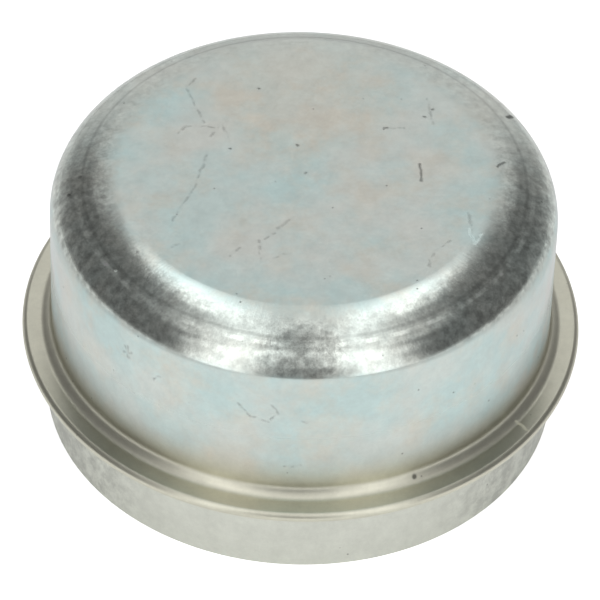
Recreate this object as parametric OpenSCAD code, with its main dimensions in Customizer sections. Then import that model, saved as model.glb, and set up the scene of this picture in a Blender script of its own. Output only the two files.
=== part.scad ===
// Hub grease cap: one deep-drawn cup of thin zinc-plated steel sheet.
// A flat crown turns down through a wide round shoulder into a straight wall. Below the wall the
// sheet runs out into a flange, folds back flat under itself, and turns down into the skirt
// that is pressed into the hub. The cap stands on the lower edge of the skirt, at z = 0.

/* [Sheet] */
// Thickness of the steel sheet
sheet = 0.7; // [0.5:0.05:1]

/* [Skirt] */
// Outside diameter of the skirt, which is the press fit in the hub
skirt_d = 65; // [50:0.5:80]
// Height of the skirt, from its lower edge to the underside of the flange
skirt_h = 10.6; // [6:0.1:16]
// Rounding of the cut edge at the bottom of the skirt
edge_round = 0.15; // [0.05:0.05:0.3]

/* [Flange] */
// How far the flange stands out past the skirt
flange_w = 3; // [2:0.1:6]
// Radius of the hollow corner where the flange turns down into the skirt
bend_round = 0.5; // [0.3:0.05:1]
// How far the open crease inside the fold runs out past the inside of the skirt
crease_w = 0.8; // [0.5:0.05:1]

/* [Dome] */
// How far the dome wall stands in from the outside of the skirt
wall_inset = 0.75; // [0.3:0.05:1.2]
// Height of the crown above the top of the flange
dome_h = 23.7; // [12:0.1:40]
// Radius of the hollow corner where the wall meets the flange
root_round = 1.5; // [1:0.1:2.5]

/* [Shoulder] */
// Outside radius of the small bend at the edge of the crown
crown_round = 6; // [3:0.5:12]
// Slope of the sheet after the small bend, in degrees
crown_slope = 4; // [2:0.5:8]
// Outside radius of the wide bend after it
wide_round = 19; // [12:0.5:30]
// Slope of the sheet after the wide bend, in degrees
wide_slope = 13.5; // [9:0.5:18]
// Outside radius of the bend that runs into the straight band
band_round = 7; // [4:0.5:14]
// Slope of the narrow straight band that runs around the shoulder, in degrees
band_slope = 21.5; // [19:0.5:28]
// Width of the band, seen from above
band_w = 1.75; // [0.5:0.05:3]
// Outside radius of the corner where the shoulder runs into the wall
corner_round = 4.5; // [2:0.1:7]

/* [Hidden] */
$fn = 180;
zinc_colour = "#C2C9C5";

// How far the sides of an arc may stray from its true curve
arc_error = 0.004;

// A step of one unit across the sheet, outwards, where the sheet has a given slope
function across(slope) = [sin(slope), cos(slope)];

// Where a bend ends, from where it starts, if it turns the sheet from one slope to another
function bend_run(radius, from_slope, to_slope) = radius * (across(to_slope) - across(from_slope));

// The runs of the shoulder, from the edge of the crown to the wall: three bends, the straight
// band and the corner. Each shares its tangent with the next
crown_run = bend_run(crown_round, 0, crown_slope);
wide_run = bend_run(wide_round, crown_slope, wide_slope);
band_bend_run = bend_run(band_round, wide_slope, band_slope);
band_run = band_w * [1, -tan(band_slope)];
corner_run = bend_run(corner_round, band_slope, 90);
shoulder_run = crown_run + wide_run + band_bend_run + band_run + corner_run;

// Radii, from the axis
skirt_r = skirt_d / 2;
skirt_in_r = skirt_r - sheet;
wall_r = skirt_r - wall_inset;
crown_r = wall_r - shoulder_run.x;
rim_r = skirt_r + flange_w;

// Heights, from the lower edge of the skirt
fold_z = skirt_h + sheet;
flange_top = fold_z + sheet;
crown_top = flange_top + dome_h;

// Points on the outer face where one bend of the shoulder ends and the next run starts
crown_edge = [crown_r, crown_top];
wide_start = crown_edge + crown_run;
band_bend_start = wide_start + wide_run;
corner_start = band_bend_start + band_bend_run + band_run;

// Centres of the arcs, each a radius and a height
crown_arc = crown_edge - crown_round * across(0);
wide_arc = wide_start - wide_round * across(crown_slope);
band_arc = band_bend_start - band_round * across(wide_slope);
corner_arc = corner_start - corner_round * across(band_slope);
root_arc = [wall_r + root_round, flange_top + root_round];
fold_arc = [rim_r - sheet, fold_z];
bend_arc = [skirt_r + bend_round, skirt_h - bend_round];
edge_out_arc = [skirt_r - edge_round, edge_round];
edge_in_arc = [skirt_in_r + edge_round, edge_round];

// Inside the fold a crease runs outwards between the two bends, and closes where the layers meet
crease_r = skirt_in_r + crease_w;
crease_low_angle = asin((bend_arc.x - crease_r) / (bend_round + sheet));
crease_top_angle = asin((root_arc.x - crease_r) / (root_round + sheet));

// Points along an arc of the section. Angles turn from straight up (0) outwards (90), down (180)
// and inwards (270). The number of steps is even, so the middle of the arc is one of the points
function arc(centre, radius, from_angle, to_angle) =
    let (
        widest = 2 * acos(1 - arc_error / radius),
        steps = 2 * ceil(abs(to_angle - from_angle) / widest / 2),
        step = (to_angle - from_angle) / steps
    )
    [for (i = [0 : steps])
        centre + radius * across(from_angle + i * step)
    ];

// Outer face of the sheet: from the middle of the crown over the shoulder, down the wall, out
// along the flange, round the fold, back under it and down the skirt
outer_face = concat(
    [[0, crown_top]],
    arc(crown_arc, crown_round, 0, crown_slope),
    arc(wide_arc, wide_round, crown_slope, wide_slope),
    arc(band_arc, band_round, wide_slope, band_slope),
    arc(corner_arc, corner_round, band_slope, 90),
    arc(root_arc, root_round, 270, 180),
    arc(fold_arc, sheet, 0, 180),
    arc(bend_arc, bend_round, 360, 270)
);

// Cut edge at the bottom of the skirt, a little rounded by tumbling and plating
cut_edge = concat(
    arc(edge_out_arc, edge_round, 90, 180),
    arc(edge_in_arc, edge_round, 180, 270)
);

// Inner face of the sheet, from the skirt up to the middle of the crown
inner_face = concat(
    arc(bend_arc, bend_round + sheet, 270, 360 - crease_low_angle),
    arc(root_arc, root_round + sheet, 180 + crease_top_angle, 270),
    arc(corner_arc, corner_round - sheet, 90, band_slope),
    arc(band_arc, band_round - sheet, band_slope, wide_slope),
    arc(wide_arc, wide_round - sheet, wide_slope, crown_slope),
    arc(crown_arc, crown_round - sheet, crown_slope, 0),
    [[0, crown_top - sheet]]
);

module grease_cap() {
    color(zinc_colour)
        rotate_extrude()
            polygon(concat(outer_face, cut_edge, inner_face));
}

grease_cap();
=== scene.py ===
import math
import bpy
from mathutils import Matrix, Vector


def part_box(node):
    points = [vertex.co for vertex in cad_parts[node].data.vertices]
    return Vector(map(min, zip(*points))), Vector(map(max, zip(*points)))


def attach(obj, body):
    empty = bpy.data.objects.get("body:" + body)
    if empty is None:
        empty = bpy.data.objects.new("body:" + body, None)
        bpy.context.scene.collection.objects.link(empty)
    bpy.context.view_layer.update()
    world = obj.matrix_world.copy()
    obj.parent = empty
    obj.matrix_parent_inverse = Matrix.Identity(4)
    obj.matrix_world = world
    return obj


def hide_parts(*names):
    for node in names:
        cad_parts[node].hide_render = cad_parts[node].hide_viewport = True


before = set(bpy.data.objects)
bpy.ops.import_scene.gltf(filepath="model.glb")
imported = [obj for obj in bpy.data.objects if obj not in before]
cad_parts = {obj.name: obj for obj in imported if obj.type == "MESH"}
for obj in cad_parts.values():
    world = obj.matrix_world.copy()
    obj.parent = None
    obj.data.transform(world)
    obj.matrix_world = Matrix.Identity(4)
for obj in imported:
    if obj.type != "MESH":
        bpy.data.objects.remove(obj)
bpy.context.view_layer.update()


# Hub grease cap
# One round blank of thin steel sheet, deep-drawn in a press into a cup with a flat crown and a
# wide round shoulder. Below the wall the sheet is folded back flat under itself to make the
# flange, and runs on down as the straight skirt that is driven into the hub.

MM = 0.001
cap_low, cap_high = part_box("grease_cap")
rim_radius = round((cap_high[0] - cap_low[0]) / 2, 4)
crown_top = round(cap_high[2], 4)
sheet = 0.7 * MM
edge_round = 0.15 * MM
flange_width = 3 * MM
skirt_radius = rim_radius - flange_width
skirt_height = 10.6 * MM
bend_round = 0.5 * MM
crease_width = 0.8 * MM
crease_radius = skirt_radius - sheet + crease_width
flange_top = skirt_height + 2 * sheet
wall_inset = 0.75 * MM
wall_radius = skirt_radius - wall_inset
root_round = 1.5 * MM

# The shoulder has three bends, each with its radius and the slope of the sheet at its end, then
# a narrow straight band and the corner. Slopes and angles are in degrees from the flat crown.
shoulder_bends = ((6 * MM, 4), (19 * MM, 13.5), (7 * MM, 21.5))
band_slope = shoulder_bends[-1][1]
band_width = 1.75 * MM
corner_round = 4.5 * MM
turns_around = 256


def across(angle):
    """A step of one unit out of the sheet, as a radius and a height, where it has that slope."""
    return Vector((math.sin(math.radians(angle)), math.cos(math.radians(angle))))


band_run = band_width * Vector((1, -math.tan(math.radians(band_slope))))
shoulder_width = band_run.x + corner_round * (across(90) - across(band_slope)).x
slope = 0
for bend_radius, end_slope in shoulder_bends:
    shoulder_width += bend_radius * (across(end_slope) - across(slope)).x
    slope = end_slope
crown_radius = wall_radius - shoulder_width


def run_to(radius, height):
    """Extrudes the outline's last point straight to a new one, with a support point near each
    end of the run, so that its shading stays straight up to the bends."""
    global pen
    start, end = pen, Vector((radius, height))
    support = 0.12 * MM
    length = (end - start).length
    stops = [1.0]
    if length > 4 * support:
        stops = [support / length, 1 - support / length, 1.0]
    for share in stops:
        stop = start.lerp(end, share)
        step = stop - pen
        bpy.ops.mesh.extrude_region_move(TRANSFORM_OT_translate={"value": (step.x, 0, step.y)})
        pen = stop


def bend(radius, from_angle, to_angle):
    """Spins the outline's last point round a bend that starts there, from one slope to another."""
    global pen
    centre = pen - radius * across(from_angle)
    widest_step = 3
    fewest_steps = 6
    steps = max(fewest_steps, math.ceil(abs(to_angle - from_angle) / widest_step))
    bpy.ops.mesh.spin(steps=steps, angle=math.radians(to_angle - from_angle),
                      center=(centre.x, 0, centre.y), axis=(0, -1, 0))
    pen = centre + radius * across(to_angle)


bpy.ops.object.select_all(action="DESELECT")
bpy.ops.mesh.primitive_plane_add(size=sheet, location=(0, 0, 0))
cap = bpy.context.active_object
cap.name = "pressed_cap"
bpy.ops.object.mode_set(mode="EDIT")
bpy.ops.mesh.merge(type="CENTER")
pen = Vector((0, crown_top))
bpy.ops.transform.translate(value=(0, 0, crown_top))

# The outer face, from the middle of the crown down to the lower edge of the skirt
run_to(crown_radius, crown_top)
slope = 0
for bend_radius, end_slope in shoulder_bends:
    bend(bend_radius, slope, end_slope)
    slope = end_slope
run_to(*(pen + band_run))
bend(corner_round, band_slope, 90)
wall_top = pen.y
run_to(wall_radius, flange_top + root_round)
bend(root_round, 270, 180)
run_to(rim_radius - sheet, flange_top)
bend(sheet, 0, 180)
run_to(skirt_radius + bend_round, skirt_height)
bend(bend_round, 360, 270)
run_to(skirt_radius, edge_round)
bend(edge_round, 90, 180)
run_to(skirt_radius - sheet + edge_round, 0)
bend(edge_round, 180, 270)

# The inner face, back up past the open crease inside the fold to the middle of the crown
fold_low = Vector((skirt_radius + bend_round, skirt_height - bend_round))
fold_high = Vector((wall_radius + root_round, flange_top + root_round))
crease_low = math.degrees(math.asin((fold_low.x - crease_radius) / (bend_round + sheet)))
crease_high = math.degrees(math.asin((fold_high.x - crease_radius) / (root_round + sheet)))
run_to(skirt_radius - sheet, fold_low.y)
bend(bend_round + sheet, 270, 360 - crease_low)
run_to(*(fold_high + (root_round + sheet) * across(180 + crease_high)))
bend(root_round + sheet, 180 + crease_high, 270)
run_to(wall_radius - sheet, wall_top)
bend(corner_round - sheet, 90, band_slope)
run_to(*(pen - band_run))
start_slopes = [0] + [end_slope for bend_radius, end_slope in shoulder_bends[:-1]]
for (bend_radius, end_slope), start_slope in reversed(list(zip(shoulder_bends, start_slopes))):
    bend(bend_radius - sheet, end_slope, start_slope)
run_to(0, crown_top - sheet)

# The outline is spun once around the axis, and its seam and its two poles are closed
bpy.ops.mesh.select_all(action="SELECT")
bpy.ops.mesh.spin(steps=turns_around, angle=2 * math.pi, center=(0, 0, 0), axis=(0, 0, 1))
bpy.ops.mesh.select_all(action="SELECT")
same_place = 0.001 * MM
bpy.ops.mesh.remove_doubles(threshold=same_place)
bpy.ops.mesh.normals_make_consistent(inside=False)
bpy.ops.object.mode_set(mode="OBJECT")
bpy.ops.object.shade_smooth()

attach(cap, "root")
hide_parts("grease_cap")


def linear(hex_colour):
    """Turns an sRGB hex colour into the linear colour that a node takes."""
    channels = [int(hex_colour[i:i + 2], 16) / 255 for i in (1, 3, 5)]
    return [c / 12.92 if c <= 0.04045 else ((c + 0.055) / 1.055) ** 2.4 for c in channels] + [1]


def add(tree, kind, inputs=None, **settings):
    """Adds a node with its settings, and fills each input with a value or links it to a socket."""
    node = tree.nodes.new(kind)
    for name, value in settings.items():
        setattr(node, name, value)
    for key, value in (inputs or {}).items():
        if isinstance(value, bpy.types.NodeSocket):
            tree.links.new(value, node.inputs[key])
        else:
            node.inputs[key].default_value = value
    return node


# Bright zinc plate: a thin, glossy coat on drawn steel, left as it comes from the bath. It is
# faintly blue-green in some patches and warm grey in others, like a thin cloudy film. The steel
# under it is dull and sandy where the press stretched it over the shoulder, and the cap carries
# the dents, scratches and specks of parts that have lain loose in a box.
zinc = bpy.data.materials.new("bright_zinc_plate_on_drawn_steel")
zinc.use_nodes = True
tree = zinc.node_tree
tree.nodes.clear()
soft = {"interpolation_type": "SMOOTHSTEP"}
place = add(tree, "ShaderNodeTexCoord").outputs["Object"]
point = add(tree, "ShaderNodeMapping", {"Vector": place, "Scale": (1 / MM, 1 / MM, 1 / MM)}).outputs[0]
to_right, to_back, height = add(tree, "ShaderNodeSeparateXYZ", {0: point}).outputs
flat = add(tree, "ShaderNodeVectorMath", {0: point, 1: (1, 1, 0)}, operation="MULTIPLY").outputs[0]
radius = add(tree, "ShaderNodeVectorMath", {0: flat}, operation="LENGTH").outputs["Value"]

# Clouds about a centimetre across, where the bath left the film bluer or warmer. A bluer patch
# lies left of the middle of the crown and a warmer one behind it, the edge is bluer again, and
# a small warm patch lies low on the front of the wall. Places and widths are in millimetres.
cloud = add(tree, "ShaderNodeTexNoise", {"Vector": point, "Scale": 1 / 9, "Detail": 4, "Roughness": 0.5})
blue_cloud = add(tree, "ShaderNodeMapRange", {0: cloud.outputs["Fac"], 1: 0.4, 2: 0.6, 3: 0, 4: 0.7})
blue_edge = add(tree, "ShaderNodeMapRange", {0: radius, 1: 15, 2: 20, 3: 0, 4: 0.25}, **soft)
off_blue = add(tree, "ShaderNodeVectorMath", {0: point, 1: (-3, 2, 35)}, operation="DISTANCE")
blue_patch = add(tree, "ShaderNodeMapRange",
                 {0: off_blue.outputs["Value"], 1: 10, 2: 4, 3: 0, 4: 0.5}, **soft)
blue_more = add(tree, "ShaderNodeMath",
                {0: blue_edge.outputs[0], 1: blue_patch.outputs[0]}, operation="ADD")
blue_share = add(tree, "ShaderNodeMath", {0: blue_cloud.outputs[0], 1: blue_more.outputs[0]},
                 operation="ADD", use_clamp=True)
cool = add(tree, "ShaderNodeMix", {"Factor": blue_share.outputs[0], "A": linear("#CDD0CA"),
                                   "B": linear("#BDD0CE")}, data_type="RGBA").outputs["Result"]
warm_place = add(tree, "ShaderNodeMapping", {"Vector": point, "Location": (37, 11, 5)}).outputs[0]
warm_cloud = add(tree, "ShaderNodeTexNoise",
                 {"Vector": warm_place, "Scale": 1 / 6, "Detail": 4, "Roughness": 0.6})
warm_some = add(tree, "ShaderNodeMapRange",
                {0: warm_cloud.outputs["Fac"], 1: 0.47, 2: 0.7, 3: 0, 4: 0.7})
off_warm = add(tree, "ShaderNodeVectorMath", {0: point, 1: (-1, 15, 35)}, operation="DISTANCE")
warm_patch = add(tree, "ShaderNodeMapRange",
                 {0: off_warm.outputs["Value"], 1: 15, 2: 5, 3: 0, 4: 0.6}, **soft)
off_low = add(tree, "ShaderNodeVectorMath", {0: point, 1: (-8.5, -30.5, 15)}, operation="DISTANCE")
low_patch = add(tree, "ShaderNodeMapRange",
                {0: off_low.outputs["Value"], 1: 6, 2: 2, 3: 0, 4: 0.8}, **soft)
warm_places = add(tree, "ShaderNodeMath",
                  {0: warm_patch.outputs[0], 1: low_patch.outputs[0]}, operation="ADD")
warm_share = add(tree, "ShaderNodeMath", {0: warm_some.outputs[0], 1: warm_places.outputs[0]},
                 operation="ADD", use_clamp=True)
film = add(tree, "ShaderNodeMix", {"Factor": warm_share.outputs[0], "A": cool,
                                   "B": linear("#CDCABF")}, data_type="RGBA").outputs["Result"]

# Where the sheet was stretched, from the edge of the crown out over the shoulder, the film is
# thinner and greyer
stretched = add(tree, "ShaderNodeMapRange", {0: radius, 1: 23, 2: 26, 3: 0, 4: 1}, **soft).outputs[0]
on_dome = add(tree, "ShaderNodeMapRange", {0: height, 1: 31.3, 2: 32.3, 3: 0, 4: 1}, **soft).outputs[0]
on_shoulder = add(tree, "ShaderNodeMath", {0: stretched, 1: on_dome}, operation="MULTIPLY").outputs[0]
bare_share = add(tree, "ShaderNodeMath", {0: on_shoulder, 1: 0.7}, operation="MULTIPLY").outputs[0]
thin_film = add(tree, "ShaderNodeMix", {"Factor": bare_share, "A": film,
                                        "B": linear("#C8CCC5")}, data_type="RGBA").outputs["Result"]

# The foot of the wall and the flange are a little brownish, the skirt only a little yellow
low_share = add(tree, "ShaderNodeMapRange", {0: height, 1: 18, 2: 13, 3: 0, 4: 0.95}, **soft).outputs[0]
tanned = add(tree, "ShaderNodeMix", {"Factor": low_share, "A": thin_film,
                                     "B": linear("#CBC9B9")}, data_type="RGBA").outputs["Result"]
on_skirt = add(tree, "ShaderNodeMapRange", {0: height, 1: 11, 2: 10, 3: 0, 4: 1}, **soft).outputs[0]
whole = add(tree, "ShaderNodeMix", {"Factor": on_skirt, "A": tanned,
                                    "B": linear("#CFD1C8")}, data_type="RGBA").outputs["Result"]

# Fine uneven lightness all over, from a few millimetres down to the grain of the plate
mottle = add(tree, "ShaderNodeTexNoise",
             {"Vector": point, "Scale": 1 / 3, "Detail": 5, "Roughness": 0.85})
mottle_light = add(tree, "ShaderNodeMapRange",
                   {0: mottle.outputs["Fac"], 1: 0.3, 2: 0.7, 3: 0.92, 4: 1.08})

# Sandy grain on the shoulder, light and dark grains a quarter to one millimetre across. The grain
# is real, and its lightness is partly painted light: painted shade in its pits and painted glints
# on its facets. It is strongest on the sides and at the very front, and weakest behind. The real
# one is finer, and is drawn this coarse so that it shows.
grain = add(tree, "ShaderNodeTexNoise",
            {"Vector": point, "Scale": 1 / 1.2, "Detail": 4, "Roughness": 0.72})
grain_glint_and_pit_shade = add(tree, "ShaderNodeMapRange",
                  {0: grain.outputs["Fac"], 1: 0.34, 2: 0.66, 3: -0.16, 4: 0.15})
far_aside = add(tree, "ShaderNodeMath", {0: to_right}, operation="ABSOLUTE").outputs[0]
grain_more = add(tree, "ShaderNodeMapRange",
                 {0: far_aside, 1: 9, 2: 18, 3: 1, 4: 2.4}, **soft).outputs[0]
front_gap = add(tree, "ShaderNodeVectorMath", {0: point, 1: (0, -29.5, 33)}, operation="DISTANCE")
grain_front = add(tree, "ShaderNodeMapRange",
                  {0: front_gap.outputs["Value"], 1: 7, 2: 3, 3: 0, 4: 2}, **soft)
grain_most = add(tree, "ShaderNodeMath",
                 {0: grain_more, 1: grain_front.outputs[0]}, operation="ADD").outputs[0]
grain_less = add(tree, "ShaderNodeMapRange",
                 {0: to_back, 1: -5, 2: 15, 3: 1, 4: 0.35}, **soft).outputs[0]
grain_depth = add(tree, "ShaderNodeMath",
                  {0: grain_less, 1: grain_most}, operation="MULTIPLY").outputs[0]
grain_share = add(tree, "ShaderNodeMath",
                  {0: on_shoulder, 1: grain_depth}, operation="MULTIPLY").outputs[0]
grain_painted_light_here = add(tree, "ShaderNodeMath", {0: grain_glint_and_pit_shade.outputs[0], 1: grain_share, 2: 1.0},
                 operation="MULTIPLY_ADD").outputs[0]

# Two rings round the shoulder: a fine dark one that the drawing die left, and outside it a light
# one that comes and goes, and is faint behind, which is a painted highlight
highlight_ring_radius = 28.5
dark_ring_radius = 27.65
ring_break = add(tree, "ShaderNodeTexNoise",
                 {"Vector": point, "Scale": 1 / 2.5, "Detail": 3}).outputs["Fac"]
past_highlight = add(tree, "ShaderNodeMath",
                 {0: radius, 1: highlight_ring_radius}, operation="SUBTRACT").outputs[0]
off_highlight = add(tree, "ShaderNodeMath", {0: past_highlight}, operation="ABSOLUTE").outputs[0]
# The light ring is a painted highlight, strongest in front
painted_highlight_ring = add(tree, "ShaderNodeMapRange",
                 {0: off_highlight, 1: 0.1, 2: 0.4, 3: 1, 4: 0}, **soft).outputs[0]
highlight_part = add(tree, "ShaderNodeMapRange",
                 {0: ring_break, 1: 0.4, 2: 0.6, 3: 0.05, 4: 0.5}, **soft).outputs[0]
highlight_front = add(tree, "ShaderNodeMapRange", {0: to_back, 1: -8, 2: 3, 3: 1, 4: 0.15}, **soft).outputs[0]
highlight_share = add(tree, "ShaderNodeMath", {0: highlight_part, 1: highlight_front}, operation="MULTIPLY").outputs[0]
highlight_ring_shown = add(tree, "ShaderNodeMath", {0: painted_highlight_ring, 1: highlight_share}, operation="MULTIPLY").outputs[0]
past_dark = add(tree, "ShaderNodeMath",
                {0: radius, 1: dark_ring_radius}, operation="SUBTRACT").outputs[0]
off_dark = add(tree, "ShaderNodeMath", {0: past_dark}, operation="ABSOLUTE").outputs[0]
dark_ring = add(tree, "ShaderNodeMapRange",
                {0: off_dark, 1: 0.05, 2: 0.35, 3: -0.2, 4: 0}, **soft).outputs[0]
ring_both = add(tree, "ShaderNodeMath", {0: highlight_ring_shown, 1: dark_ring}, operation="ADD").outputs[0]
ring_line_and_highlight = add(tree, "ShaderNodeMath",
                 {0: ring_both, 1: on_shoulder, 2: 1.0}, operation="MULTIPLY_ADD").outputs[0]

# Painted shade on the sides of the skirt, in speckled patches: the speckles are the plate's own,
# and they are drawn darker where the sides mirror the table in the cap's shadow
to_sides = add(tree, "ShaderNodeMapRange", {0: to_back, 1: -30, 2: -20, 3: 0, 4: 1}, **soft).outputs[0]
side_shade_here = add(tree, "ShaderNodeMath", {0: on_skirt, 1: to_sides}, operation="MULTIPLY").outputs[0]
speckle = add(tree, "ShaderNodeTexNoise",
              {"Vector": point, "Scale": 1 / 2.2, "Detail": 4, "Roughness": 0.75})
speckle_shade = add(tree, "ShaderNodeMapRange",
                    {0: speckle.outputs["Fac"], 1: 0.4, 2: 0.6, 3: 0.7, 4: 0.98})
painted_skirt_shade = add(tree, "ShaderNodeMix", {"Factor": side_shade_here, "A": 1.0, "B": speckle_shade.outputs[0]},
                  data_type="FLOAT").outputs["Result"]

# The lightness from all of these together, before the marks
grain_shade = add(tree, "ShaderNodeMath",
                  {0: mottle_light.outputs[0], 1: grain_painted_light_here}, operation="MULTIPLY").outputs[0]
ring_shade = add(tree, "ShaderNodeMath",
                 {0: grain_shade, 1: ring_line_and_highlight}, operation="MULTIPLY").outputs[0]
skirt_shade = add(tree, "ShaderNodeMath",
                  {0: ring_shade, 1: painted_skirt_shade}, operation="MULTIPLY").outputs[0]

# Smudges, dents drawn as painted shade, scratches, and nicks drawn with a painted glint. Each is a
# run of points on the outer face, in millimetres: the first two numbers are right and back from the
# axis, the third is the height.
# The hand that left them was not steady, so the lines wander a little.
CROWN = 35.7
smudges = (
    ((14.6, -28.5, 12.6),), ((25.9, 14.6, 33.8), (25.4, 14, 34.2)), ((-28, -0.1, 34.7),),
    ((-29.2, -2.9, 34),),
)
# Dents, drawn only as painted shade: a dark spot where each dent would show shade in the metal
shaded_dents = (
    ((-6.2, 16.3, CROWN),), ((-9.4, 4.8, CROWN),), ((14.8, 11.8, CROWN),), ((15.8, 13.3, CROWN),),
    ((0, 0.8, CROWN),), ((-1.1, 5.8, CROWN),), ((9.8, 9.6, CROWN), (10.1, 9.6, CROWN)),
    ((14.3, 3.1, CROWN), (14.5, 0, CROWN)), ((23.9, 3, 35.6), (24.8, 4.1, 35.4)),
    ((-18.7, -18.4, 35.2),), ((-24.2, -14.2, 34.6),), ((-20.1, -14.2, 35.5),),
)
scratches = (
    ((-14.3, 17.8, CROWN), (-15.3, 16.3, CROWN), (-14.9, 14.8, CROWN), (-12.8, 9.5, CROWN)),
    ((-16, 7.3, CROWN), (-15.1, 8.7, CROWN), (-12.8, 8.8, CROWN), (-11.5, 8.5, CROWN),
     (-12, 7, CROWN), (-10.6, 9.3, CROWN), (-9.5, 6.3, CROWN)),
    ((-12.3, 4.2, CROWN), (-12.7, 1.5, CROWN), (-13.7, -2.7, CROWN), (-15.7, -7.5, CROWN),
     (-16.1, -8.6, CROWN)), ((10, 9.6, CROWN), (12.2, 9.6, CROWN)),
    ((15.2, 15.4, CROWN), (15.8, 10.7, CROWN)), ((-3.5, -10.4, CROWN), (-4.7, -11.5, CROWN)),
    ((-7.6, -12.9, CROWN), (-8.9, -14.7, CROWN)), ((-1.3, -7.4, CROWN), (-3.2, -9.5, CROWN)),
    ((-5.5, -11.7, CROWN), (-4.9, -15.6, CROWN), (-1.5, -13.7, CROWN)),
    ((-15.9, -13.3, CROWN), (-15.2, -12.9, CROWN)),
    ((18, -10.9, CROWN), (16.3, -12.6, CROWN), (15.6, -14, CROWN), (15.5, -15.4, CROWN)),
    ((20.4, -5.5, CROWN), (20.7, -10, CROWN)), ((-0.7, 27.2, 35.2), (0.9, 25.7, 35.5)),
    ((-20.9, -23.9, 28.9), (-20.9, -23.9, 26.9)), ((-20.4, -24.3, 28.2), (-21.4, -23.5, 27.4)),
    ((-21.3, -23.6, 28.5), (-20.6, -24.2, 27)), ((-17.7, -26.4, 25.8), (-16.9, -26.9, 26.8)),
    ((-7.3, -30.9, 26.8), (-5.7, -31.2, 24.8), (-3.5, -31.6, 24.3), (-2.4, -31.7, 25.7),
     (-3.1, -31.6, 27.3)),
    ((0.4, -31.7, 24.7), (1.1, -31.7, 24.4)), ((-1.3, -31.7, 16.8), (0.5, -31.7, 17.1)),
)
# Nicks that catch the light, drawn lighter than the plate as a painted glint, and a little rougher
glinting_nicks = (
    ((20.3, -8.4, CROWN), (21.1, -11.1, CROWN), (22, -9.3, CROWN)),
    ((27.2, -18.2, 12.1), (28.7, -19.6, 12)), ((-22.7, -16.7, 34.5),),
)
wander = add(tree, "ShaderNodeTexNoise",
             {"Vector": point, "Scale": 1 / 1.5, "Detail": 2}).outputs["Color"]
wander_step = add(tree, "ShaderNodeVectorMath",
                  {0: wander, 1: (0.5, 0.5, 0.5)}, operation="SUBTRACT").outputs[0]
wandering = add(tree, "ShaderNodeVectorMath", {0: wander_step, 1: (0.8, 0.8, 0.8), 2: point},
                operation="MULTIPLY_ADD").outputs[0]


def nearest(marks):
    """The distance from each point of the cap to the nearest of a group of marks."""
    distance = None
    shortest = 1e-6
    for mark in marks:
        for start, end in zip(mark, mark[1:] or mark):
            along = Vector(end) - Vector(start)
            share_step = along / max(along.length_squared, shortest)
            from_start = add(tree, "ShaderNodeVectorMath",
                             {0: wandering, 1: start}, operation="SUBTRACT").outputs[0]
            share = add(tree, "ShaderNodeVectorMath",
                        {0: from_start, 1: share_step}, operation="DOT_PRODUCT")
            held = add(tree, "ShaderNodeClamp", {0: share.outputs["Value"]}).outputs[0]
            foot = add(tree, "ShaderNodeVectorMath",
                       {0: along, "Scale": held}, operation="SCALE").outputs[0]
            gap = add(tree, "ShaderNodeVectorMath",
                      {0: from_start, 1: foot}, operation="DISTANCE").outputs["Value"]
            if distance is not None:
                gap = add(tree, "ShaderNodeMath", {0: distance, 1: gap}, operation="MINIMUM").outputs[0]
            distance = gap
    return distance


# How strongly each kind of mark shows. A scratch bites here and there, and skips in between.
smudged = add(tree, "ShaderNodeMapRange",
              {0: nearest(smudges), 1: 0.15, 2: 0.5, 3: 0.95, 4: 0}, **soft).outputs[0]
dent_shade = add(tree, "ShaderNodeMapRange",
             {0: nearest(shaded_dents), 1: 0.05, 2: 0.36, 3: 0.8, 4: 0}, **soft).outputs[0]
scratch = add(tree, "ShaderNodeMapRange",
              {0: nearest(scratches), 1: 0, 2: 0.34, 3: 0.42, 4: 0}, **soft).outputs[0]
scratch_break = add(tree, "ShaderNodeTexNoise",
                    {"Vector": point, "Scale": 1 / 0.9, "Detail": 2}).outputs["Fac"]
scratch_part = add(tree, "ShaderNodeMapRange",
                   {0: scratch_break, 1: 0.4, 2: 0.6, 3: 0.15, 4: 1}, **soft).outputs[0]
scratched = add(tree, "ShaderNodeMath", {0: scratch, 1: scratch_part}, operation="MULTIPLY").outputs[0]
glint_mark = add(tree, "ShaderNodeMapRange",
                 {0: nearest(glinting_nicks), 1: 0.05, 2: 0.3, 3: 1, 4: 0}, **soft).outputs[0]

# Small dark specks, where dirt got under the plate
specks = add(tree, "ShaderNodeTexVoronoi", {"Vector": point, "Scale": 1 / 3.2})
speck = add(tree, "ShaderNodeMapRange",
            {0: specks.outputs["Distance"], 1: 0.02, 2: 0.06, 3: 0.7, 4: 0}, **soft).outputs[0]
dent_shade_or_scratch = add(tree, "ShaderNodeMath", {0: dent_shade, 1: scratched}, operation="MAXIMUM").outputs[0]
with_specks = add(tree, "ShaderNodeMath", {0: dent_shade_or_scratch, 1: speck}, operation="MAXIMUM").outputs[0]
marked = add(tree, "ShaderNodeMath", {0: with_specks, 1: smudged}, operation="MAXIMUM").outputs[0]

# Dark marks darken the plate, the dents among them as painted shade, and the nicks lighten it as a
# painted glint
mark_light = add(tree, "ShaderNodeMapRange", {0: marked, 1: 0, 2: 1, 3: 1, 4: 0.3}).outputs[0]
painted_glint = add(tree, "ShaderNodeMapRange", {0: glint_mark, 1: 0, 2: 1, 3: 1, 4: 1.25}).outputs[0]
mark_shade = add(tree, "ShaderNodeMath",
                 {0: skirt_shade, 1: mark_light}, operation="MULTIPLY").outputs[0]
shade = add(tree, "ShaderNodeMath", {0: mark_shade, 1: painted_glint}, operation="MULTIPLY").outputs[0]
colour = add(tree, "ShaderNodeVectorMath", {0: whole, "Scale": shade}, operation="SCALE").outputs[0]

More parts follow.
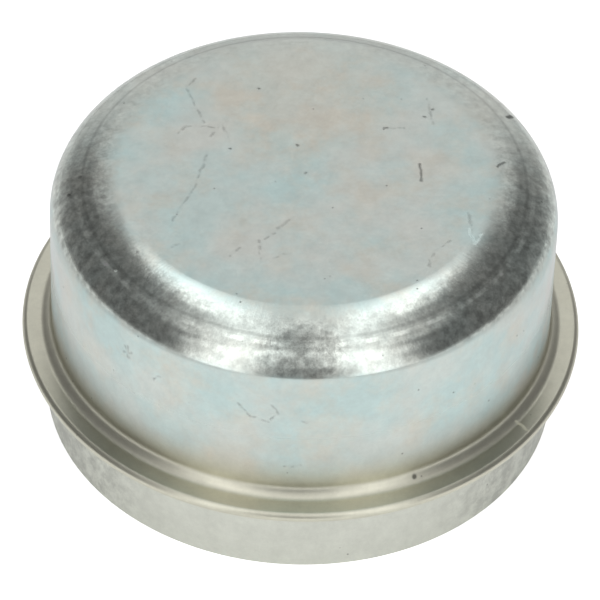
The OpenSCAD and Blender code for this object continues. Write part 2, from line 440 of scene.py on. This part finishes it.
# Draw lines that run down the wall
around = add(tree, "ShaderNodeVectorMath", {0: flat}, operation="NORMALIZE").outputs[0]
line_place = add(tree, "ShaderNodeVectorMath",
                 {0: around, 1: (60, 60, 0)}, operation="MULTIPLY").outputs[0]
slow_height = add(tree, "ShaderNodeVectorMath", {0: point, 1: (0, 0, 0.12), 2: line_place},
                  operation="MULTIPLY_ADD").outputs[0]
lines = add(tree, "ShaderNodeTexNoise", {"Vector": slow_height, "Scale": 1.5, "Detail": 1})

# Thin sheet is never quite true: waves about a centimetre long, at most 0.05 mm deep
waves = add(tree, "ShaderNodeTexNoise", {"Vector": point, "Scale": 1 / 8, "Detail": 1})

# Glossy on the crown and the wall, and sandier in its grain over the shoulder
plain_rough = add(tree, "ShaderNodeMapRange",
                  {0: mottle.outputs["Fac"], 1: 0.3, 2: 0.7, 3: 0.13, 4: 0.18})
grain_rough = add(tree, "ShaderNodeMapRange",
                  {0: grain.outputs["Fac"], 1: 0.34, 2: 0.66, 3: 0.2, 4: 0.13})
high_rough = add(tree, "ShaderNodeMix", {"Factor": on_shoulder, "A": plain_rough.outputs[0],
                                         "B": grain_rough.outputs[0]}, data_type="FLOAT").outputs["Result"]

# The plate is duller low on the wall and on the flange, where the bath does not reach so well,
# and wherever something marked it
foot_share = add(tree, "ShaderNodeMapRange", {0: height, 1: 27, 2: 15.5, 3: 0, 4: 1}, **soft).outputs[0]
foot_rough = add(tree, "ShaderNodeMapRange",
                 {0: height, 1: 13, 2: 15, 3: 0.33, 4: 0.42}, **soft).outputs[0]
plate_rough = add(tree, "ShaderNodeMix", {"Factor": foot_share, "A": high_rough, "B": foot_rough},
                  data_type="FLOAT").outputs["Result"]
touched = add(tree, "ShaderNodeMath", {0: marked, 1: glint_mark}, operation="MAXIMUM").outputs[0]
mark_rough = add(tree, "ShaderNodeMath",
                 {0: touched, 1: 0.3, 2: plate_rough}, operation="MULTIPLY_ADD").outputs[0]
wave_bump = add(tree, "ShaderNodeBump",
                {"Strength": 1.0, "Distance": 0.05 * MM, "Height": waves.outputs["Fac"]})
grain_bump = add(tree, "ShaderNodeBump", {"Strength": on_shoulder, "Distance": 0.012 * MM,
                                          "Height": grain.outputs["Fac"], "Normal": wave_bump.outputs[0]})
line_bump = add(tree, "ShaderNodeBump",
                {"Strength": 0.5, "Distance": 0.004 * MM, "Height": lines.outputs["Fac"],
                 "Normal": grain_bump.outputs[0]})
shader = add(tree, "ShaderNodeBsdfPrincipled", {"Base Color": colour, "Metallic": 1.0,
                                                "Roughness": mark_rough, "Normal": line_bump.outputs[0]})
add(tree, "ShaderNodeOutputMaterial", {"Surface": shader.outputs[0]})
cap.data.materials.append(zinc)


# Table
# A round white table top under the cap. It is white to the eye. The metal mirrors a painted pool
# of light on it, a glow that is paler in front than behind and far to the sides. It still takes the
# cap's soft shadow.
table_radius = 0.6
table_middle = -0.06
bpy.ops.object.select_all(action="DESELECT")
bpy.ops.mesh.primitive_circle_add(vertices=128, radius=table_radius, fill_type="NGON",
                                  location=(0, table_middle, 0))
table = bpy.context.active_object
table.name = "table_top"

white = bpy.data.materials.new("matt_white_table_top_painted_glow")
white.use_nodes = True
tree = white.node_tree
tree.nodes.clear()
ray = add(tree, "ShaderNodeLightPath")
mirrored = add(tree, "ShaderNodeMath",
               {0: ray.outputs["Is Glossy Ray"], 1: ray.outputs["Is Transmission Ray"]},
               operation="MAXIMUM")
table_place = add(tree, "ShaderNodeTexCoord").outputs["Object"]
table_right, table_back = add(tree, "ShaderNodeSeparateXYZ", {0: table_place}).outputs[:2]
# Painted light: the glow that the metal mirrors fades to the back and to the sides
pool_back_fade = add(tree, "ShaderNodeMapRange",
                {0: table_back, 1: 0, 2: 0.09, 3: 0.42, 4: 0.18}, **soft).outputs[0]
table_aside = add(tree, "ShaderNodeMath", {0: table_right}, operation="ABSOLUTE").outputs[0]
pool_side_fade = add(tree, "ShaderNodeMapRange",
                {0: table_aside, 1: 0.08, 2: 0.15, 3: 1, 4: 0.35}, **soft).outputs[0]
painted_light_pool = add(tree, "ShaderNodeMath", {0: pool_back_fade, 1: pool_side_fade}, operation="MULTIPLY").outputs[0]
mirrored_painted_glow = add(tree, "ShaderNodeMath", {0: mirrored.outputs[0], 1: painted_light_pool}, operation="MULTIPLY")
camera_glow = 0.75
glow = add(tree, "ShaderNodeMath",
           {0: ray.outputs["Is Camera Ray"], 1: camera_glow, 2: mirrored_painted_glow.outputs[0]},
           operation="MULTIPLY_ADD")
matt = add(tree, "ShaderNodeBsdfDiffuse", {"Color": (0.9, 0.9, 0.9, 1)})
lit = add(tree, "ShaderNodeEmission", {"Color": (1, 1, 1, 1), "Strength": glow.outputs[0]})
both = add(tree, "ShaderNodeAddShader", {0: matt.outputs[0], 1: lit.outputs[0]})
add(tree, "ShaderNodeOutputMaterial", {"Surface": both.outputs[0]})
table.data.materials.append(white)


# Studio
# Soft light all round. Two tall soft boxes stand in front, left and right of the camera, and bend
# back over the cap. The side walls are dark, the ceiling and the wall behind are pale.
world = bpy.data.worlds.new("studio")
bpy.context.scene.world = world
world.use_nodes = True
tree = world.node_tree
tree.nodes.clear()
direction = add(tree, "ShaderNodeTexCoord").outputs["Generated"]
right, back, rise = add(tree, "ShaderNodeSeparateXYZ", {0: direction}).outputs
ahead = add(tree, "ShaderNodeMath", {0: back, 1: -1}, operation="MULTIPLY").outputs[0]
aside = add(tree, "ShaderNodeMath", {0: right}, operation="ABSOLUTE").outputs[0]

# Nothing is divided by less than this
least = 0.001
rise_held = add(tree, "ShaderNodeMath", {0: rise, 1: least}, operation="MAXIMUM").outputs[0]
turn = add(tree, "ShaderNodeMath", {0: aside, 1: ahead}, operation="ARCTAN2").outputs[0]
turn_deg = add(tree, "ShaderNodeMath", {0: turn}, operation="DEGREES").outputs[0]
rise_angle = add(tree, "ShaderNodeMath", {0: rise}, operation="ARCSINE").outputs[0]
rise_deg = add(tree, "ShaderNodeMath", {0: rise_angle}, operation="DEGREES").outputs[0]
over_side = add(tree, "ShaderNodeMath", {0: aside, 1: rise_held}, operation="DIVIDE").outputs[0]
over_back = add(tree, "ShaderNodeMath", {0: back, 1: rise_held}, operation="DIVIDE").outputs[0]

# The side walls are dark, and lighter low down and behind. The wall behind ends below the ceiling.
side_wall = 0.18
back_wall = 0.76
low_behind = add(tree, "ShaderNodeMapRange",
                 {0: turn_deg, 1: 91, 2: 180, 3: 0, 4: 0.54}, **soft).outputs[0]
low_fade = add(tree, "ShaderNodeMapRange", {0: rise_deg, 1: 0, 2: 37, 3: 1, 4: 0}, **soft).outputs[0]
wall = add(tree, "ShaderNodeMath",
           {0: low_behind, 1: low_fade, 2: side_wall}, operation="MULTIPLY_ADD").outputs[0]
wall_back = add(tree, "ShaderNodeMapRange", {0: turn_deg, 1: 146, 2: 168, 3: 0, 4: 1}, **soft).outputs[0]
back_top = add(tree, "ShaderNodeMapRange", {0: rise_deg, 1: 43, 2: 47, 3: 1, 4: 0}, **soft).outputs[0]
back_share = add(tree, "ShaderNodeMath", {0: wall_back, 1: back_top}, operation="MULTIPLY").outputs[0]
all_walls = add(tree, "ShaderNodeMix",
                {"Factor": back_share, "A": wall, "B": back_wall}, data_type="FLOAT").outputs[0]

# The pale paper under the table runs up a little way all round
paper = 0.56
low_edge = add(tree, "ShaderNodeMapRange", {0: rise_deg, 1: -4, 2: 5, 3: 1, 4: 0}, **soft).outputs[0]
walls = add(tree, "ShaderNodeMix",
            {"Factor": low_edge, "A": all_walls, "B": paper}, data_type="FLOAT").outputs[0]

# The ceiling is bright all round and dim in its middle
ceiling_middle = 0.28
ceiling_round = add(tree, "ShaderNodeMapRange",
                    {0: over_back, 1: -0.3, 2: 0.5, 3: 2.2, 4: 0.8}, **soft).outputs[0]
overhead = add(tree, "ShaderNodeMapRange", {0: rise_deg, 1: 60, 2: 92, 3: 0, 4: 1}, **soft).outputs[0]
ceiling = add(tree, "ShaderNodeMix",
              {"Factor": overhead, "A": ceiling_round, "B": ceiling_middle}, data_type="FLOAT").outputs[0]
high = add(tree, "ShaderNodeMapRange", {0: rise_deg, 1: 52.5, 2: 92, 3: 0, 4: 1}, **soft).outputs[0]
middle = add(tree, "ShaderNodeMapRange", {0: over_side, 1: 0.2, 2: 0.28, 3: 1, 4: 0}, **soft).outputs[0]
behind = add(tree, "ShaderNodeMath", {0: back, 1: 0}, operation="GREATER_THAN").outputs[0]
middle_behind = add(tree, "ShaderNodeMath", {0: middle, 1: behind}, operation="MULTIPLY").outputs[0]
ceiling_share = add(tree, "ShaderNodeMath", {0: high, 1: middle_behind}, operation="MAXIMUM").outputs[0]
room = add(tree, "ShaderNodeMix",
           {"Factor": ceiling_share, "A": walls, "B": ceiling}, data_type="FLOAT").outputs[0]

# How far to the side a direction points for each unit that it points ahead, or over the top
top_reach = 0.232
reach_over = add(tree, "ShaderNodeMath", {0: rise, 1: top_reach}, operation="MULTIPLY").outputs[0]
reach = add(tree, "ShaderNodeMath", {0: reach_over, 1: ahead}, operation="MAXIMUM").outputs[0]
reach_held = add(tree, "ShaderNodeMath", {0: reach, 1: least}, operation="MAXIMUM").outputs[0]
spread = add(tree, "ShaderNodeMath", {0: aside, 1: reach_held}, operation="DIVIDE").outputs[0]

# The boxes are widest high in front of the cap, and narrower low down and behind it
lean_front = add(tree, "ShaderNodeMapRange",
                 {0: over_back, 1: -1.3, 2: -0.15, 3: 1.2, 4: 0.74}, **soft).outputs[0]
lean_front_in = add(tree, "ShaderNodeMath", {0: lean_front, 1: 1}, operation="MINIMUM").outputs[0]
lean_out = add(tree, "ShaderNodeMapRange",
               {0: over_back, 1: -0.1, 2: 0.2, 3: lean_front, 4: 1.08}, **soft).outputs[0]
lean_in = add(tree, "ShaderNodeMapRange", {0: over_back, 1: -0.1, 2: 0.2, 3: lean_front_in, 4: 0.92},
              **soft).outputs[0]
spread_in = add(tree, "ShaderNodeMath", {0: spread, 1: lean_in}, operation="MULTIPLY").outputs[0]
spread_out = add(tree, "ShaderNodeMath", {0: spread, 1: lean_out}, operation="MULTIPLY").outputs[0]
box_inner = add(tree, "ShaderNodeMapRange",
                {0: spread_in, 1: 0.12, 2: 0.72, 3: 0, 4: 1}, **soft).outputs[0]
box_outer = add(tree, "ShaderNodeMapRange",
                {0: spread_out, 1: 0.1, 2: 1.7, 3: 1, 4: 0}, **soft).outputs[0]
box_end = add(tree, "ShaderNodeMapRange",
              {0: over_back, 1: 0.77, 2: 0.85, 3: 1, 4: 0}, **soft).outputs[0]
box_sides = add(tree, "ShaderNodeMath", {0: box_inner, 1: box_outer}, operation="MULTIPLY").outputs[0]
box_share = add(tree, "ShaderNodeMath", {0: box_sides, 1: box_end}, operation="MULTIPLY").outputs[0]
box_bright = 2.95
box_over = add(tree, "ShaderNodeMapRange",
               {0: rise_deg, 1: 60, 2: 76, 3: box_bright, 4: 2.1}, **soft).outputs[0]
box_back = add(tree, "ShaderNodeMapRange",
               {0: over_back, 1: 0.5, 2: 0.89, 3: 0, 4: 1}, **soft).outputs[0]
box_level = add(tree, "ShaderNodeMix",
                {"Factor": box_back, "A": box_over, "B": box_bright}, data_type="FLOAT").outputs[0]

# Between the soft boxes
gap_level = add(tree, "ShaderNodeMapRange",
                {0: rise_deg, 1: 29, 2: 33, 3: 0.33, 4: 0.6}, **soft).outputs[0]
gap_side = add(tree, "ShaderNodeMath", {0: 1, 1: box_inner}, operation="SUBTRACT").outputs[0]
gap_front = add(tree, "ShaderNodeMath", {0: ahead, 1: 0}, operation="GREATER_THAN").outputs[0]
gap_low = add(tree, "ShaderNodeMath", {0: 1, 1: high}, operation="SUBTRACT").outputs[0]
gap_share = add(tree, "ShaderNodeMath", {0: gap_side, 1: gap_front}, operation="MULTIPLY").outputs[0]
gap = add(tree, "ShaderNodeMath", {0: gap_share, 1: gap_low}, operation="MULTIPLY").outputs[0]
room_gap = add(tree, "ShaderNodeMix",
               {"Factor": gap, "A": room, "B": gap_level}, data_type="FLOAT").outputs[0]
light = add(tree, "ShaderNodeMix",
            {"Factor": box_share, "A": room_gap, "B": box_level}, data_type="FLOAT").outputs[0]

# The camera itself sees plain white around the table
camera_ray = add(tree, "ShaderNodeLightPath").outputs["Is Camera Ray"]
strength = add(tree, "ShaderNodeMix",
               {"Factor": camera_ray, "A": light, "B": 1.0}, data_type="FLOAT").outputs[0]
studio_light = add(tree, "ShaderNodeBackground", {"Color": (1, 1, 1, 1), "Strength": strength})
add(tree, "ShaderNodeOutputWorld", {"Surface": studio_light.outputs[0]})


# Camera
# A long lens, well back, looks down on the cap from the front. The picture is aimed a little off
# the middle of the fold and has a small roll, as the photo has.
eye_height = math.radians(44.2)
eye_distance = 17 * rim_radius
rim_pixels = 278
pixels_per_metre = rim_pixels / rim_radius
picture_width = 600
pixels_right = -1.25
pixels_up = 17.87
camera_roll = math.radians(1.76)
sensor_width = 36
fold_middle = Vector((0, 0, skirt_height + sheet))
towards_eye = Vector((0, -math.cos(eye_height), math.sin(eye_height)))
picture_up = Vector((0, math.sin(eye_height), math.cos(eye_height)))
target = fold_middle + Vector((pixels_right, 0, 0)) / pixels_per_metre
target += picture_up * pixels_up / pixels_per_metre
eye = fold_middle + towards_eye * eye_distance
bpy.ops.object.camera_add(location=eye)
camera = bpy.context.active_object
camera.name = "camera"
aim = (target - eye).to_track_quat("-Z", "Y").to_matrix().to_4x4()
roll = Matrix.Rotation(camera_roll, 4, "Z")
camera.matrix_world = Matrix.Translation(eye) @ aim @ roll
camera.data.sensor_width = sensor_width
camera.data.lens = sensor_width * pixels_per_metre * eye_distance / picture_width
camera.data.clip_start = 0.01
camera.data.clip_end = 10
bpy.context.scene.camera = camera
bpy.context.scene.view_settings.view_transform = "Standard"
